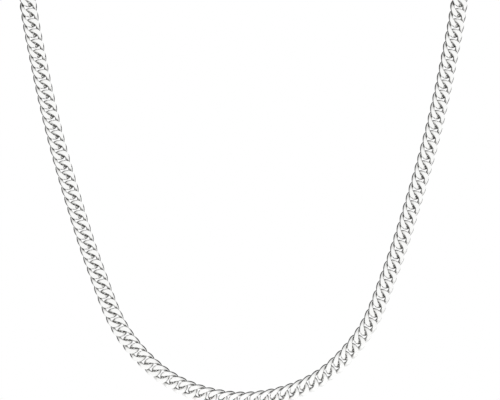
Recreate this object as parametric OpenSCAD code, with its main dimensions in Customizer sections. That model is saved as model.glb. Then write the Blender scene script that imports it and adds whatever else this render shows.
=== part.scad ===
// Cuban link neck chain, in the form that it has when worn: one closed loop, held up at the nape.
// Millimetres. The origin is the middle of the clasp, at the nape. Z is up. The front of the loop,
// with its lowest point, looks along -Y, and the wearer's back is towards +Y.

/* [Links] */
// Distance from the middle of one link to the middle of the next
pitch = 3.1; // [3.09:0.01:3.12]
// Thickness of the wire that the links are bent from
wire_d = 1.3; // [1.2:0.02:1.3]
// Width of the chain over its flat face
chain_w = 5.2; // [5.1:0.02:5.24]
// Length of one link from outside to outside
link_l = 5.9; // [5.88:0.01:5.92]
// How far the wire rises and falls from the middle of the chain as it goes round a link
wire_rise = 0.8; // [0.8:0.01:0.84]
// Thickness of the chain between its two ground faces
face_t = 2.2; // [2.0:0.05:2.4]

/* [Clasp] */
// Thickness of the wire of the two rings that hold the clasp
ring_wire_d = 0.9; // [0.8:0.02:0.9]
// Outer diameter of those rings
ring_d = 5.5; // [5.4:0.05:5.7]
// Thickness of the clasp's eyes
eye_t = 1.4; // [1.2:0.05:1.4]
// Width of metal round an eye
eye_rim = 0.9; // [0.8:0.02:0.9]
// Thickness of the clasp's box
box_t = 2.4; // [2.0:0.1:3]

/* [Hidden] */

silver = "#d9dadb";
// Links in each half of the loop, as many as its route has room for
half_count = 79;
link_sides = 10;
wire_sides = 5;
ring_fn = 48;

// Half lengths of the wire's centre line round one link
link_a = (link_l - wire_d) / 2;
link_b = (chain_w - wire_d) / 2;

// Route of half the loop, from its lowest point in front to the nape, a row every 21 mm or so.
// x, y, z: place of the chain's middle. The other half of the loop has x with its sign changed.
// tilt: where the flat face looks, from 0 straight ahead, through 90 straight up, to 180 back.
// roll_r, roll_l: how far the face then turns outwards, away from the middle of the loop, on the
// half at +X and on the half at -X. The chain rolled a little as it hung, and not alike.
// Each row: x, y, z, tilt, roll_r, roll_l
route = [
    [0, -96, -137, 18, 20, 20],
    [20.5, -94.5, -132, 18, 19, 16],
    [35.5, -90, -118.5, 18, 17, 2],
    [44, -84, -100, 18, 16, -10],
    [50.7, -77.5, -80.5, 18, 15, -14],
    [56.3, -71.5, -61.5, 18, 15, -15],
    [61, -65, -41.5, 18, 15, -15],
    [64.6, -57.5, -21.5, 24, 13, -13],
    [63.9, -43.5, -7.5, 45, 8, -8],
    [56.5, -26.5, -0.5, 68, 0, 0],
    [42, -11, 1, 88, 0, 0],
    [21.5, -2, 0.5, 103, 0, 0],
    [0, 0, 0, 112, 0, 0]
];
route_steps = 12;
column_names = ["x", "y", "z", "tilt", "roll_r", "roll_l"];
roll_r_column = 4;
roll_l_column = 5;

function unit(v) = v / norm(v);

// The same row of the route on the other half of the loop
function mirrored(row) = [for (c = [0 : len(row) - 1]) c == 0 ? -row[0] : row[c]];

// Row of the route, carried on past either end as the other half of the loop
function route_row(i, last = len(route) - 1) =
    i < 0 ? mirrored(route[-i])
    : i > last ? mirrored(route[2 * last - i])
    : route[i];

// Smooth curve through the rows, t from 0 at p1 to 1 at p2
function curve(p0, p1, p2, p3, t) =
    (2 * p1 + (p2 - p0) * t + (2 * p0 - 5 * p1 + 4 * p2 - p3) * t^2
        + (3 * p1 - p0 - 3 * p2 + p3) * t^3) / 2;

fine_route = [
    for (i = [0 : len(route) - 2])
        for (k = [0 : route_steps - 1])
            curve(route_row(i - 1), route_row(i), route_row(i + 1), route_row(i + 2), k / route_steps),
    route[len(route) - 1]
];

function place(row) = [row.x, row.y, row.z];
function stride(i) = i == 0 ? 0 : norm(place(fine_route[i]) - place(fine_route[i - 1]));

// Distance along the route to each row of fine_route
distances = [
    for (i = 0, sum = 0; i < len(fine_route); i = i + 1, sum = sum + (i < len(fine_route) ? stride(i) : 0))
        sum
];
half_length = distances[len(distances) - 1];

columns = [
    for (c = [0 : len(column_names) - 1])
        [for (i = [0 : len(fine_route) - 1]) [distances[i], fine_route[i][c]]]
];
function row_on_route(s) = [for (column = columns) lookup(s, column)];
function row_at(s) =
    s < 0 ? mirrored(row_on_route(-s))
    : s > half_length ? mirrored(row_on_route(2 * half_length - s))
    : row_on_route(s);

// Frame at distance s from the lowest point: place, and the directions along the chain, across it
// and out of its flat face. side is 1 for the half at +X and -1 for the half at -X.
look = pitch / 6;
function frame_at(s, side) =
    let (
        row = row_at(s),
        along = unit(place(row_at(s + look)) - place(row_at(s - look))),
        ahead = [0, -cos(row[3]), sin(row[3])],
        face = unit(ahead - (ahead * along) * along),
        outwards = cross(along, face),
        roll = row[side > 0 ? roll_r_column : roll_l_column],
        rolled = face * cos(roll) + outwards * sin(roll),
        flip = [side, 1, 1],
        x_axis = times(along, flip),
        z_axis = times(rolled, flip)
    )
    [times(place(row), flip), x_axis, cross(z_axis, x_axis), z_axis];

function times(a, b) = [a.x * b.x, a.y * b.y, a.z * b.z];
function put(p, frame) = frame[0] + p.x * frame[1] + p.y * frame[2] + p.z * frame[3];

// One link lies flat about its own origin, long side along x. Its wire runs round an oval and
// rises and falls twice, so that each link lies over one neighbour and under the other.
function wire_at(t) = [link_a * cos(t), link_b * sin(t), -wire_rise * sin(2 * t)];
function wire_heading(t) = unit([-link_a * sin(t), link_b * cos(t), -2 * wire_rise * cos(2 * t)]);

// The two faces of the chain are ground flat
function ground(p) = [p.x, p.y, max(-face_t / 2, min(face_t / 2, p.z))];

function wire_section(t) =
    let (
        heading = wire_heading(t),
        outside = unit(cross(heading, [0, 0, 1])),
        upwards = cross(outside, heading)
    )
    [
        for (j = [0 : wire_sides - 1])
            let (turn = 360 * (j + 0.5) / wire_sides)
            ground(wire_at(t) + wire_d / 2 * (cos(turn) * outside + sin(turn) * upwards))
    ];

link_points = [for (i = [0 : link_sides - 1]) each wire_section(360 * i / link_sides)];
link_faces = [
    for (i = [0 : link_sides - 1])
        for (j = [0 : wire_sides - 1])
            let (
                next_i = (i + 1) % link_sides,
                next_j = (j + 1) % wire_sides,
                a = i * wire_sides + j,
                b = i * wire_sides + next_j,
                c = next_i * wire_sides + next_j,
                d = next_i * wire_sides + j
            )
            each [[a, b, c], [a, c, d]]
];

function link_distance(k) = (k + 0.5) * pitch;

// Half of the loop: every link is a closed shell of its own, clear of its neighbours
module half_chain(side) {
    frames = [for (k = [0 : half_count - 1]) frame_at(link_distance(k), side)];
    points = [for (frame = frames) for (p = link_points) put(p, frame)];
    faces = [
        for (k = [0 : half_count - 1])
            for (f = link_faces)
                [for (index = f) index + k * len(link_points)]
    ];
    polyhedron(points = points, faces = faces, convexity = 10);
}

module chain_left() {
    color(silver) half_chain(-1);
}

module chain_right() {
    color(silver) half_chain(1);
}

// Places what it holds in the frame at distance s
module in_frame(s, side) {
    f = frame_at(s, side);
    multmatrix([
        [f[1].x, f[2].x, f[3].x, f[0].x],
        [f[1].y, f[2].y, f[3].y, f[0].y],
        [f[1].z, f[2].z, f[3].z, f[0].z],
        [0, 0, 0, 1]
    ])
        children();
}

// The rings stand across the face of the last links and of the clasp's eyes. A ring hangs in the
// last link with seat_gap between the two wires, and in the eye the same.
seat_gap = 0.2;
ring_r = (ring_d - ring_wire_d) / 2;
ring_reach = link_a - wire_d / 2 - seat_gap - ring_wire_d / 2 + ring_r;
ring_s = link_distance(half_count - 1) + ring_reach;
// The eye's rim has square edges, which meet the ring's bore first
rim_in_ring = sqrt((ring_r - ring_wire_d / 2 - seat_gap)^2 - (eye_t / 2)^2);

module ring(side) {
    in_frame(ring_s, side)
        rotate([90, 0, 0])
            rotate_extrude($fn = ring_fn)
                translate([ring_r, 0])
                    circle(d = ring_wire_d, $fn = ring_fn / 2);
}

module end_ring() {
    color(silver) ring(-1);
}

module jump_ring() {
    color(silver) ring(1);
}

// One plain piece: a box as wide as the chain, between two eyes
eye_bore = ring_wire_d + 0.5;
eye_d = eye_bore + 2 * eye_rim;
eye_x = half_length - ring_s - rim_in_ring - eye_bore / 2;
box_margin = 0.3;
box_l = 2 * (eye_x - eye_bore / 2 - box_margin);

module eyes_outline() {
    difference() {
        union() {
            square([2 * eye_x, eye_d], center = true);
            for (side = [-1, 1])
                translate([side * eye_x, 0])
                    circle(d = eye_d, $fn = ring_fn);
        }
        for (side = [-1, 1])
            translate([side * eye_x, 0])
                circle(d = eye_bore, $fn = ring_fn);
    }
}

module clasp() {
    color(silver)
        in_frame(half_length, 1)
            union() {
                linear_extrude(height = eye_t, center = true)
                    eyes_outline();
                cube([box_l, chain_w, box_t], center = true);
            }
}

chain_left();
chain_right();
end_ring();
clasp();
jump_ring();
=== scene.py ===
# %% [markdown]
# A silver neck chain of flat curb links, seen as it hangs on a neck.
# A jeweller winds round wire into links, twists each link so that it lies flat against the next
# one, and grinds and polishes both faces of the finished chain. This lesson follows the same
# order: the wire, one link, the whole loop, the clasp, the silver, and then the studio.
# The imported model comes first. It fixes the size and the place of every piece.

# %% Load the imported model
import math
import random

import bmesh
import bpy
from mathutils import Matrix, Vector


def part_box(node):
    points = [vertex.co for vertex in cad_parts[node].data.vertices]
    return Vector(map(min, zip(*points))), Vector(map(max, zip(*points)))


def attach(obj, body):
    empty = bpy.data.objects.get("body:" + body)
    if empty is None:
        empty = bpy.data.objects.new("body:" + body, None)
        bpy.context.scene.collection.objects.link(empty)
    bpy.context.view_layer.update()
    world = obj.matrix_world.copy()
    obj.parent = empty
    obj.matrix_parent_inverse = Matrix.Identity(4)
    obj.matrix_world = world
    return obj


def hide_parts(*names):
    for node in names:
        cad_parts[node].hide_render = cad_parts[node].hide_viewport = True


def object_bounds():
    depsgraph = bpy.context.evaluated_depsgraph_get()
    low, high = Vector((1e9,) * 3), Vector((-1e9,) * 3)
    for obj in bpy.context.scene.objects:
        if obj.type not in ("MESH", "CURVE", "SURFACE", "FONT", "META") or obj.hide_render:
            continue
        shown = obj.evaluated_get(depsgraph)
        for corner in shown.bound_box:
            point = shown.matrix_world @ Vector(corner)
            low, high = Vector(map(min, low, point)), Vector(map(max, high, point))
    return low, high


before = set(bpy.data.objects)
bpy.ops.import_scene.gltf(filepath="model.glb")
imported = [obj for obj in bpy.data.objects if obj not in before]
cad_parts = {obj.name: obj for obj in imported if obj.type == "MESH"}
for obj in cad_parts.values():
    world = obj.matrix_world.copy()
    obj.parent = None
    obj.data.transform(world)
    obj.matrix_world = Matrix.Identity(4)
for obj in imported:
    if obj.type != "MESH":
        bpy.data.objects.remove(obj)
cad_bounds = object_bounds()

MM = 0.001
print("CAD nodes:", sorted(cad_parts))

# %% [markdown]
# The chain's measures. A cuban chain is sold by its width and its length: this one is 5.2 mm wide,
# and its loop is 508 mm long. The links lie 3.1 mm apart, closer than one link's inner length, so
# that each link hides most of the next one. All lengths in this lesson are in millimetres until
# a mesh is put in its place, where MM turns them into Blender's metres.

# %% Measures of the chain
PITCH = 3.1
LINKS_IN_HALF = 79
CHAIN_WIDTH = 5.2
WIRE = 1.4
LINK_LENGTH = 6.0
WIRE_RISE = 0.85
FACE_TO_FACE = 2.2
LINK_A = (LINK_LENGTH - WIRE) / 2
LINK_B = (CHAIN_WIDTH - WIRE) / 2
print("Centre line of a link:", 2 * LINK_A, "by", 2 * LINK_B, "mm")

# %% [markdown]
# The route of half the loop, from its lowest point in front to the nape. A chain has no shape of
# its own, so its route is a short list of given places, with a smooth curve through them.
# The first three numbers are the place, x being the distance from the middle of the loop. The tilt
# says where the flat face looks: 0 is straight ahead, 90 straight up. The two rolls turn the
# face outwards, on the half at +X and on the half at -X, because a chain rolls a little as it hangs.

# %% Route of the chain
# Each row: x, y, z, tilt, roll_right, roll_left
ROUTE = (
    (0, -96, -137, 18, 20, 20),
    (20.5, -94.5, -132, 18, 19, 16),
    (35.5, -90, -118.5, 18, 17, 2),
    (44, -84, -100, 18, 16, -10),
    (50.7, -77.5, -80.5, 18, 15, -14),
    (56.3, -71.5, -61.5, 18, 15, -15),
    (61, -65, -41.5, 18, 15, -15),
    (64.6, -57.5, -21.5, 24, 13, -13),
    (63.9, -43.5, -7.5, 45, 8, -8),
    (56.5, -26.5, -0.5, 68, 0, 0),
    (42, -11, 1, 88, 0, 0),
    (21.5, -2, 0.5, 103, 0, 0),
    (0, 0, 0, 112, 0, 0),
)
ROUTE_STEPS = 12


def mirrored(row):
    """A row of the route on the other half of the loop."""
    return (-row[0],) + row[1:]


def route_row(index):
    """A row of the route, carried on past either end as the other half of the loop."""
    last = len(ROUTE) - 1
    if index < 0:
        return mirrored(ROUTE[-index])
    if index > last:
        return mirrored(ROUTE[2 * last - index])
    return ROUTE[index]


def smooth_row(index, t):
    """A row between two rows of the route, on a Catmull-Rom curve through its neighbours."""
    rows = [route_row(index + step) for step in (-1, 0, 1, 2)]
    return tuple(
        (2 * b + (c - a) * t + (2 * a - 5 * b + 4 * c - d) * t**2 + (3 * b - a - 3 * c + d) * t**3) / 2
        for a, b, c, d in zip(*rows)
    )


fine_route = [
    smooth_row(index, step / ROUTE_STEPS)
    for index in range(len(ROUTE) - 1)
    for step in range(ROUTE_STEPS)
]
fine_route.append(ROUTE[-1])

distances = [0.0]
for here, there in zip(fine_route, fine_route[1:]):
    distances.append(distances[-1] + math.dist(here[:3], there[:3]))
HALF_LENGTH = distances[-1]
print("Half of the loop:", round(HALF_LENGTH, 1), "mm")

# %% [markdown]
# A link needs a full frame, not only a place: the direction along the chain, the direction across
# it and the direction out of its flat face. Together they make the 4 by 4 matrix that bmesh
# transforms take. The direction along is the step between two near points on the route. The
# face is what is left of the tilt's direction once its part along the chain is taken off.

# %% Frame at a distance along the chain
LOOK = PITCH / 6


def row_at(distance):
    """The row at a distance from the lowest point, measured along the route."""
    if distance < 0:
        return mirrored(row_at(-distance))
    if distance > HALF_LENGTH:
        return mirrored(row_at(2 * HALF_LENGTH - distance))
    index = 0
    while index < len(distances) - 2 and distances[index + 1] < distance:
        index += 1
    share = (distance - distances[index]) / (distances[index + 1] - distances[index])
    return tuple(a + (b - a) * share for a, b in zip(fine_route[index], fine_route[index + 1]))


def frame_at(distance, side):
    """Matrix of a piece of the chain, in metres. Side is 1 for the half at +X, -1 for the other."""
    row = row_at(distance)
    tilt = math.radians(row[3])
    roll = math.radians(row[4] if side > 0 else row[5])
    along = (Vector(row_at(distance + LOOK)[:3]) - Vector(row_at(distance - LOOK)[:3])).normalized()
    ahead = Vector((0, -math.cos(tilt), math.sin(tilt)))
    face = (ahead - ahead.dot(along) * along).normalized()
    outwards = along.cross(face)
    rolled = face * math.cos(roll) + outwards * math.sin(roll)
    flip = Vector((side, 1, 1))
    x_axis = along * flip
    z_axis = rolled * flip
    y_axis = z_axis.cross(x_axis)
    place = Vector(row[:3]) * flip * MM
    matrix = Matrix((x_axis * MM, y_axis * MM, z_axis * MM)).transposed().to_4x4()
    matrix.translation = place
    return matrix


def link_distance(number):
    return (number + 0.5) * PITCH


print("Middle of the first link, in mm:", frame_at(link_distance(0), 1).translation / MM)

# %% [markdown]
# One link. In the real chain it is a round wire bent into an oval that rises and falls twice, so
# that it lies over one neighbour and under the other. A curve with a bevel depth could make the
# tube, but a spin gives rings of vertices that are easy to move: a circle is spun once round the
# Z axis, which makes a plain torus, and each vertex then moves to the oval with its offset from
# the wire's middle kept, so that the wire stays round.

# %% Bend one link from wire
WIRE_SIDES = 12
LINK_STEPS = 30
QUARTER_TURN = Matrix.Rotation(math.pi / 2, 3, "X")


def wire_at(t):
    """Middle of the wire of one link, t going once round."""
    return Vector((LINK_A * math.cos(t), LINK_B * math.sin(t), -WIRE_RISE * math.sin(2 * t)))


def wire_axes(t):
    """Directions out of the link and up from it, square to the wire."""
    heading = Vector((-LINK_A * math.sin(t), LINK_B * math.cos(t), -2 * WIRE_RISE * math.cos(2 * t)))
    heading.normalize()
    outside = heading.cross(Vector((0, 0, 1))).normalized()
    return outside, outside.cross(heading)


def wire_ring(radius, wire, sides, steps):
    """A round ring of round wire in the XY plane. The radius reaches to the wire's middle."""
    ring = bmesh.new()
    bmesh.ops.create_circle(ring, segments=sides, radius=wire / 2)
    bmesh.ops.rotate(ring, verts=ring.verts, matrix=QUARTER_TURN)
    bmesh.ops.translate(ring, verts=ring.verts, vec=(radius, 0, 0))
    bmesh.ops.spin(
        ring, geom=ring.verts[:] + ring.edges[:], axis=(0, 0, 1), cent=(0, 0, 0),
        angle=2 * math.pi, steps=steps, use_merge=True,
    )
    return ring


def bent_link():
    link = wire_ring(LINK_A, WIRE, WIRE_SIDES, LINK_STEPS)
    for vert in link.verts:
        t = math.atan2(vert.co.y, vert.co.x)
        outside, upwards = wire_axes(t)
        off_middle = math.hypot(vert.co.x, vert.co.y) - LINK_A
        vert.co = wire_at(t) + off_middle * outside + vert.co.z * upwards
    return link


link = bent_link()
print("Bent link:", len(link.verts), "vertices,", len(link.faces), "faces")

# %% [markdown]
# The flat faces. The finished chain is pulled over a grinding wheel, which takes the tops off the
# bent wires. bisect_plane cuts a mesh as the wheel does: it drops all that lies outside the
# plane, and leaves open holes. holes_fill closes each of them with one flat face. The rim of a
# ground face isn't knife sharp, because the chain is polished afterwards, so it gets a small bevel.
# Where that bevel leaves two vertices almost in one place, they are merged. A face with many
# corners can be split into triangles in several ways, and each way shades it a little differently.
# So the faces with more than four corners are split here, always in the way of the best triangles.

# %% Grind both faces
RIM_BEVEL = 0.07
CUT_TOLERANCE = 0.0001
MERGE_DISTANCE = 0.002
MOST_CORNERS = 4


def grind(link):
    for side in (1, -1):
        cut = bmesh.ops.bisect_plane(
            link, geom=link.verts[:] + link.edges[:] + link.faces[:], dist=CUT_TOLERANCE,
            plane_co=(0, 0, side * FACE_TO_FACE / 2), plane_no=(0, 0, side), clear_outer=True,
        )
        rim = [item for item in cut["geom_cut"] if isinstance(item, bmesh.types.BMEdge)]
        bmesh.ops.holes_fill(link, edges=rim, sides=0)
        bmesh.ops.bevel(
            link, geom=rim, offset=RIM_BEVEL, offset_type="OFFSET", affect="EDGES",
            segments=2, profile=0.5, material=-1, clamp_overlap=True,
        )
    bmesh.ops.remove_doubles(link, verts=link.verts, dist=MERGE_DISTANCE)
    bmesh.ops.recalc_face_normals(link, faces=link.faces)
    many_cornered = [face for face in link.faces if len(face.verts) > MOST_CORNERS]
    bmesh.ops.triangulate(link, faces=many_cornered, quad_method="BEAUTY", ngon_method="BEAUTY")


grind(link)
print("Ground link:", len(link.verts), "vertices,", len(link.faces), "faces")

# %% [markdown]
# Shade is painted into the link as grey: deep between the wires, where a neighbour's wire shuts out
# the light, and a little on the round flanks, which lie below the ground faces and turn away from the
# light. A noise texture could darken the chain, but it would darken it anywhere. This painted shade
# follows the shape of the link, so the link carries it as an attribute of its vertices: it grows
# where a neighbour's wire is near, and as the vertex lies deeper under the ground face.

# %% Paint shade into the crevices of a link
# How near and how deep the painted shade reaches, and how much of it is painted on the flanks.
CREVICE_REACH = 0.4
CREVICE_DEPTH = 0.35
FLANK_SHADE = 0.2
NEIGHBOURS = (-2, -1, 1, 2)
SAMPLES_ROUND = 72

neighbour_wires = [
    wire_at(2 * math.pi * step / SAMPLES_ROUND) + Vector((number * PITCH, 0, 0))
    for number in NEIGHBOURS
    for step in range(SAMPLES_ROUND)
]


def crevice_shade_at(point):
    """Painted shade at a point of the link, from 0 on a ground face to 1 deep in a crevice."""
    gap = min((point - wire).length for wire in neighbour_wires) - WIRE / 2
    near = min(1, max(0, 1 - gap / CREVICE_REACH))
    deep = min(1, max(0, (FACE_TO_FACE / 2 - abs(point.z)) / CREVICE_DEPTH))
    return (FLANK_SHADE + (1 - FLANK_SHADE) * near) * deep


# Each vertex keeps its amount of painted shade in this attribute.
crevice_shade = link.verts.layers.float.new("crevice_shade")
for vert in link.verts:
    vert[crevice_shade] = crevice_shade_at(vert.co)
print("Most tarnish on a vertex:", round(max(vert[crevice_shade] for vert in link.verts), 2))

# %% [markdown]
# The two halves of the loop. An array modifier with a curve could repeat the link, but it would
# bend every link with the curve, and real links stay stiff. So each link is put in its own frame.
# A hand-finished chain is never quite even, so each link also leans by up to a degree.

# %% String the links
LEAN = 0.9
EDGE_ANGLE = math.radians(35)
random.seed(4)


def lean():
    """A small turn about each axis, drawn anew for each link."""
    angles = [math.radians(random.uniform(-LEAN, LEAN)) for _ in range(3)]
    return (
        Matrix.Rotation(angles[0], 4, "X")
        @ Matrix.Rotation(angles[1], 4, "Y")
        @ Matrix.Rotation(angles[2], 4, "Z")
    )


def join_mesh(builder, mesh):
    """Adds a mesh to a bmesh and returns the vertices that came with it."""
    before = len(builder.verts)
    builder.from_mesh(mesh)
    builder.verts.ensure_lookup_table()
    return builder.verts[before:]


def finished_mesh(builder, name):
    """The mesh of a bmesh, which is freed."""
    mesh = bpy.data.meshes.new(name)
    builder.to_mesh(mesh)
    builder.free()
    return mesh


def add_piece(name, mesh):
    """An object at the origin, with its edges kept sharp where two faces meet steeply."""
    mesh.polygons.foreach_set("use_smooth", [True] * len(mesh.polygons))
    mesh.set_sharp_from_angle(angle=EDGE_ANGLE)
    piece = bpy.data.objects.new(name, mesh)
    bpy.context.scene.collection.objects.link(piece)
    print(name, "has", len(mesh.polygons), "faces")
    return piece


def strung_half(name, side):
    """All links of one half of the loop, joined into one piece."""
    half = bmesh.new()
    for number in range(LINKS_IN_HALF):
        place = frame_at(link_distance(number), side) @ lean()
        bmesh.ops.transform(half, matrix=place, verts=join_mesh(half, link_mesh))
    return add_piece(name, finished_mesh(half, name))


link_mesh = finished_mesh(link, "one_link")
links_left = strung_half("cuban_links_left", -1)
links_right = strung_half("cuban_links_right", 1)

# %% [markdown]
# The two rings that join the chain to its clasp. Each is a round wire, so it is a circle spun once
# round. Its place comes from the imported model: the middle of the CAD ring's box. It stands on
# edge across the chain, as the last link lies flat.

# %% Rings at the clasp
RING_WIRE = 0.9
RING_OUTER = 5.5
RING_STEPS = 48
RING_SIDES = 14


def middle_of(node):
    low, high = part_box(node)
    return (low + high) / 2


def clasp_ring(name, node, side):
    ring = wire_ring((RING_OUTER - RING_WIRE) / 2, RING_WIRE, RING_SIDES, RING_STEPS)
    bmesh.ops.recalc_face_normals(ring, faces=ring.faces)
    bmesh.ops.rotate(ring, verts=ring.verts, matrix=QUARTER_TURN)
    place = frame_at(link_distance(LINKS_IN_HALF), side)
    place.translation = middle_of(node)
    bmesh.ops.transform(ring, matrix=place, verts=ring.verts)
    return add_piece(name, finished_mesh(ring, name))


ring_left = clasp_ring("clasp_ring_left", "end_ring", -1)
ring_right = clasp_ring("clasp_ring_right", "jump_ring", 1)

# %% [markdown]
# The clasp: a plain box with an eye at each end, all soldered into one piece. The box is a cube
# that is scaled and beveled: first its four upright corners with a wide bevel, then its rims
# with a narrow one. Each wide face is inset and sunk a little, which gives the thin frame that
# such boxes have, and the sunk panel is marked in an attribute, because it is left satin where
# the rest is polished. An eye is a rectangle with rounded corners, spun once round. It starts as a
# grid of one face, one unit wide, because a grid's size is half its width.

# %% Box clasp with two eyes
EYE_RIM = 0.9
EYE_BORE = 1.4
EYE_THICKNESS = 1.4
BOX_THICKNESS = 2.4
BOX_MARGIN = 0.3
CORNER_BEVEL = 1.1
BOX_RIM_BEVEL = 0.3
PANEL_INSET = 0.5
PANEL_WALL = 0.1
PANEL_SINK = 0.12
EYE_CORNER = 0.3
LEAST_RIM_ANGLE = math.radians(60)
FLAT_ENOUGH = 0.999


def rounded_edges(builder, edges, width, segments):
    bmesh.ops.bevel(
        builder, geom=edges, offset=width, offset_type="OFFSET", affect="EDGES",
        segments=segments, profile=0.5, material=-1,
    )


def clasp_box(length):
    box = bmesh.new()
    satin = box.verts.layers.float.new("satin")
    bmesh.ops.create_cube(box, size=1)
    bmesh.ops.scale(box, verts=box.verts, vec=(length, CHAIN_WIDTH, BOX_THICKNESS))
    uprights = [edge for edge in box.edges if edge.verts[0].co.z * edge.verts[1].co.z < 0]
    rounded_edges(box, uprights, CORNER_BEVEL, segments=6)
    rims = [edge for edge in box.edges if edge.calc_face_angle(0) > LEAST_RIM_ANGLE]
    rounded_edges(box, rims, BOX_RIM_BEVEL, segments=3)
    for side in (1, -1):
        panel = [face for face in box.faces if face.normal.z * side > FLAT_ENOUGH]
        for thickness, depth in ((PANEL_INSET, 0), (PANEL_WALL, -PANEL_SINK)):
            bmesh.ops.inset_region(
                box, faces=panel, thickness=thickness, depth=depth, use_even_offset=True,
            )
        for vert in {vert for face in panel for vert in face.verts}:
            vert[satin] = 1
    return finished_mesh(box, "clasp_box")


def clasp_eye():
    eye = bmesh.new()
    bmesh.ops.create_grid(eye, x_segments=1, y_segments=1, size=0.5)
    bmesh.ops.scale(eye, verts=eye.verts, vec=(EYE_RIM, EYE_THICKNESS, 1))
    bmesh.ops.rotate(eye, verts=eye.verts, matrix=QUARTER_TURN)
    bmesh.ops.translate(eye, verts=eye.verts, vec=((EYE_BORE + EYE_RIM) / 2, 0, 0))
    bmesh.ops.bevel(
        eye, geom=eye.verts[:], offset=EYE_CORNER, offset_type="OFFSET", affect="VERTICES",
        segments=3, profile=0.5, material=-1,
    )
    bmesh.ops.delete(eye, geom=eye.faces[:], context="FACES_ONLY")
    bmesh.ops.spin(
        eye, geom=eye.verts[:] + eye.edges[:], axis=(0, 0, 1), cent=(0, 0, 0),
        angle=2 * math.pi, steps=RING_STEPS, use_merge=True,
    )
    return finished_mesh(eye, "clasp_eye")


clasp_low, clasp_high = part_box("clasp")
clasp_length = (clasp_high.x - clasp_low.x) / MM
eye_x = clasp_length / 2 - EYE_BORE / 2 - EYE_RIM
box_length = 2 * (eye_x - EYE_BORE / 2 - BOX_MARGIN)

eye_mesh = clasp_eye()
clasp = bmesh.new()
join_mesh(clasp, clasp_box(box_length))
for eye_side in (1, -1):
    bmesh.ops.translate(clasp, verts=join_mesh(clasp, eye_mesh), vec=(eye_side * eye_x, 0, 0))
bmesh.ops.recalc_face_normals(clasp, faces=clasp.faces)
bmesh.ops.transform(clasp, matrix=frame_at(HALF_LENGTH, 1), verts=clasp.verts)
box_clasp = add_piece("box_clasp", finished_mesh(clasp, "box_clasp"))
print("Clasp:", round(clasp_length, 1), "mm long, box", round(box_length, 1), "mm")

# %% [markdown]
# The silver. Sterling silver is a white metal that returns nearly all light, so its own colour
# hardly shows and it looks like the room around it. It is ground and then polished with a soft
# wheel, which leaves a low roughness, a little duller in some places than in others, and fine hair
# marks. Real hair marks are hundredths of a millimetre wide. They wouldn't show in the picture, so
# they are drawn 0.35 mm wide and very shallow. Grey shade is painted into the crevices, and the
# clasp's satin panels scatter the light. A photographed texture could hold all of this, but it would
# fit one size and one light only, so the patterns are nodes that are sized in real millimetres.

# %% Helpers for materials


def srgb(code):
    """A hex sRGB colour as the linear values that a shader takes."""
    parts = [int(code[index:index + 2], 16) / 255 for index in (1, 3, 5)]
    return tuple(
        part / 12.92 if part <= 0.04045 else ((part + 0.055) / 1.055) ** 2.4 for part in parts
    ) + (1,)


def add_node(tree, kind, settings=None, **links):
    """A node of that kind. Each keyword is an input, by its name with _ for a space or by _ and its
    place, and gets a link where it is an output socket and a plain value where it isn't."""
    node = tree.nodes.new(kind)
    for name, value in (settings or {}).items():
        setattr(node, name, value)
    for name, value in links.items():
        socket = node.inputs[int(name[1:])] if name[0] == "_" else node.inputs[name.replace("_", " ")]
        if isinstance(value, bpy.types.NodeSocket):
            tree.links.new(value, socket)
        else:
            socket.default_value = value
    return node


# %% Polished sterling silver
POLISHED = "#fafaf9"
# The grey that is painted into the crevices as shade.
CREVICE_SHADE_GREY = "#8f8e8c"
HAIR_MARK_MM = 0.35
HAIR_MARK_DEPTH_MM = 0.02
HAIR_MARK_STRENGTH = 0.08
CLOUD_MM = 4.0
CLEAR = 0.3
CLOUDY = 0.7
CLEAR_ROUGHNESS = 0.05
CLOUDY_ROUGHNESS = 0.1
SATIN_ROUGHNESS = 0.35

silver = bpy.data.materials.new("polished_sterling_silver")
silver.use_nodes = True
tree = silver.node_tree
tree.nodes.clear()
output = add_node(tree, "ShaderNodeOutputMaterial")
metal = add_node(tree, "ShaderNodeBsdfPrincipled", Metallic=1.0)
tree.links.new(metal.outputs["BSDF"], output.inputs["Surface"])
coordinates = add_node(tree, "ShaderNodeTexCoord")
crevice_shade_node = add_node(tree, "ShaderNodeAttribute", {"attribute_name": "crevice_shade"})
clouds = add_node(
    tree, "ShaderNodeTexNoise", Vector=coordinates.outputs["Object"],
    Scale=1 / (CLOUD_MM * MM), Detail=2.0, Roughness=0.5,
)
hair_marks = add_node(
    tree, "ShaderNodeTexNoise", Vector=coordinates.outputs["Object"],
    Scale=1 / (HAIR_MARK_MM * MM), Detail=3.0, Roughness=0.6,
)
# The silver turns to the painted shade grey where the crevice attribute is high.
tone = add_node(
    tree, "ShaderNodeMix", {"data_type": "RGBA"}, _0=crevice_shade_node.outputs["Fac"],
    _6=srgb(POLISHED), _7=srgb(CREVICE_SHADE_GREY),
)
tree.links.new(tone.outputs[2], metal.inputs["Base Color"])
roughness = add_node(
    tree, "ShaderNodeMapRange", Value=clouds.outputs["Fac"],
    From_Min=CLEAR, From_Max=CLOUDY, To_Min=CLEAR_ROUGHNESS, To_Max=CLOUDY_ROUGHNESS,
)
satin_node = add_node(tree, "ShaderNodeAttribute", {"attribute_name": "satin"})
finish = add_node(
    tree, "ShaderNodeMath", {"operation": "MULTIPLY_ADD"},
    _0=satin_node.outputs["Fac"], _1=SATIN_ROUGHNESS, _2=roughness.outputs["Result"],
)
tree.links.new(finish.outputs["Value"], metal.inputs["Roughness"])
marks = add_node(
    tree, "ShaderNodeBump", Strength=HAIR_MARK_STRENGTH, Distance=HAIR_MARK_DEPTH_MM * MM,
    Height=hair_marks.outputs["Fac"],
)
tree.links.new(marks.outputs["Normal"], metal.inputs["Normal"])

pieces = (links_left, links_right, ring_left, ring_right, box_clasp)
for piece in pieces:
    piece.data.materials.append(silver)
print("Silver:", len(tree.nodes), "nodes on", len(pieces), "pieces")

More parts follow.
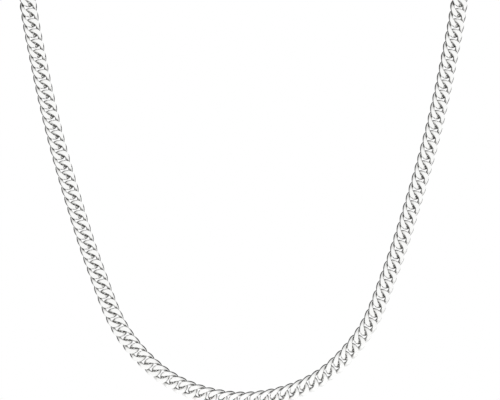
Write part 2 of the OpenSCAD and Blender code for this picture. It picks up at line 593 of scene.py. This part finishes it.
# %% [markdown]
# The floor: a plain white table top under the hanging chain. Its matt laminate scatters light and
# mirrors nothing. A product photographer lights such a table until it shows no shadow, and it could
# have a lamp of its own for that, but a little emission does the same with no lamp to be mirrored in
# the silver. It reaches back only as far as the lower edge of the picture, and the lowest links
# mirror it from below.

# %% Pale floor
FLOOR_GAP = 20
FLOOR_WIDTH = 400
FLOOR_FRONT = -320
FLOOR_BACK = -60
FLOOR_GLOW = 0.45
FLOOR_ROUGHNESS = 0.8
FLOOR_COLOUR = "#f4f4f4"
FLOOR_GLOW_COLOUR = "#ffffff"

floor_builder = bmesh.new()
bmesh.ops.create_grid(floor_builder, x_segments=1, y_segments=1, size=0.5)
bmesh.ops.scale(
    floor_builder, verts=floor_builder.verts, vec=(FLOOR_WIDTH * MM, (FLOOR_BACK - FLOOR_FRONT) * MM, 1),
)
floor_middle = Vector((0, (FLOOR_BACK + FLOOR_FRONT) / 2 * MM, cad_bounds[0][2] - FLOOR_GAP * MM))
bmesh.ops.translate(floor_builder, verts=floor_builder.verts, vec=floor_middle)
floor = add_piece("floor", finished_mesh(floor_builder, "floor"))

table_top = bpy.data.materials.new("white_table_top")
table_top.use_nodes = True
table_shader = table_top.node_tree.nodes["Principled BSDF"]
table_shader.inputs["Base Color"].default_value = srgb(FLOOR_COLOUR)
table_shader.inputs["Roughness"].default_value = FLOOR_ROUGHNESS
table_shader.inputs["Emission Color"].default_value = srgb(FLOOR_GLOW_COLOUR)
table_shader.inputs["Emission Strength"].default_value = FLOOR_GLOW
floor.data.materials.append(table_top)

# %% [markdown]
# The studio. Polished metal shows its room, so the room is what makes it look like metal. A large
# soft light round the camera makes the flat faces white. The unlit sides of the room draw thin
# grey lines along the round of each wire, where it turns away, and a pale wall at the far end keeps
# the back of the chain light. Such a room could be built of lamps and screens, but the world can
# paint it by one angle, measured from the camera's side, with no shape of its own in the scene. The
# camera itself sees white.

# %% Soft studio surroundings
ELEVATION = math.radians(18)
TO_CAMERA = Vector((0, -math.cos(ELEVATION), math.sin(ELEVATION)))
ROOM = (
    # angle from the camera's side in degrees, brightness
    (0, 1.0),
    (66, 1.0),
    (84, 0.85),
    (93, 0.04),
    (136, 0.04),
    (150, 0.9),
)
ROOM_STRENGTH = 1.0

world = bpy.data.worlds.new("soft_studio")
bpy.context.scene.world = world
world.use_nodes = True
room = world.node_tree
room.nodes.clear()
sky = add_node(room, "ShaderNodeOutputWorld")
directions = add_node(room, "ShaderNodeTexCoord")
facing = add_node(
    room, "ShaderNodeVectorMath", {"operation": "DOT_PRODUCT"},
    _0=directions.outputs["Generated"], _1=TO_CAMERA,
)
angle = add_node(room, "ShaderNodeMath", {"operation": "ARCCOSINE"}, _0=facing.outputs["Value"])
share = add_node(room, "ShaderNodeMath", {"operation": "DIVIDE"}, _0=angle.outputs[0], _1=math.pi)
panels = add_node(room, "ShaderNodeValToRGB", Fac=share.outputs[0])
stops = panels.color_ramp.elements
while len(stops) > 1:
    stops.remove(stops[-1])
for index, (degrees, brightness) in enumerate(ROOM):
    stop = stops[0] if index == 0 else stops.new(degrees / 180)
    stop.position = degrees / 180
    stop.color = (brightness, brightness, brightness, 1)
seen_by = add_node(room, "ShaderNodeLightPath")
shown = add_node(
    room, "ShaderNodeMix", {"data_type": "RGBA"}, _0=seen_by.outputs["Is Camera Ray"],
    _6=panels.outputs["Color"], _7=(1, 1, 1, 1),
)
light = add_node(room, "ShaderNodeBackground", Color=shown.outputs[2], Strength=ROOM_STRENGTH)
room.links.new(light.outputs["Background"], sky.inputs["Surface"])
print("Room:", len(stops), "stops of brightness from the camera's side to the far end")

# %% [markdown]
# The camera stands a metre away and a little above the chain, with a long lens, so that the near
# and the far part of the loop keep nearly one scale. The lens is worked out from how many pixels of
# the 500 pixel wide picture one millimetre takes.

# %% Camera
PICTURE_WIDTH = 500
PIXELS_PER_MM = 3.355
CAMERA_DISTANCE = 1000
SENSOR = 36
LOWEST_POINT = Vector(ROUTE[0][:3])
RIGHT_OF_MIDDLE = 1.94
LOWEST_BELOW_CENTRE = 59.6

aim = LOWEST_POINT + Vector((
    RIGHT_OF_MIDDLE,
    LOWEST_BELOW_CENTRE * math.sin(ELEVATION),
    LOWEST_BELOW_CENTRE * math.cos(ELEVATION),
))
camera_data = bpy.data.cameras.new("camera")
camera_data.sensor_width = SENSOR
camera_data.lens = SENSOR * CAMERA_DISTANCE / (PICTURE_WIDTH / PIXELS_PER_MM)
camera = bpy.data.objects.new("camera", camera_data)
camera.location = aim * MM + TO_CAMERA * (CAMERA_DISTANCE * MM)
camera.rotation_euler = (math.pi / 2 - ELEVATION, 0, 0)
bpy.context.scene.collection.objects.link(camera)
bpy.context.scene.camera = camera
bpy.context.scene.view_settings.view_transform = "Standard"
print("Lens:", round(camera_data.lens, 1), "mm")

# %% [markdown]
# Last, each piece is tied to the model: it rides on the only body, and the CAD node that it stands
# for is hidden. The dressing may not change the size.

# %% Tie the pieces to the model
replaced = (
    (links_left, "chain_left"),
    (links_right, "chain_right"),
    (ring_left, "end_ring"),
    (ring_right, "jump_ring"),
    (box_clasp, "clasp"),
)
for piece, node in replaced:
    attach(piece, "root")
    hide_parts(node)
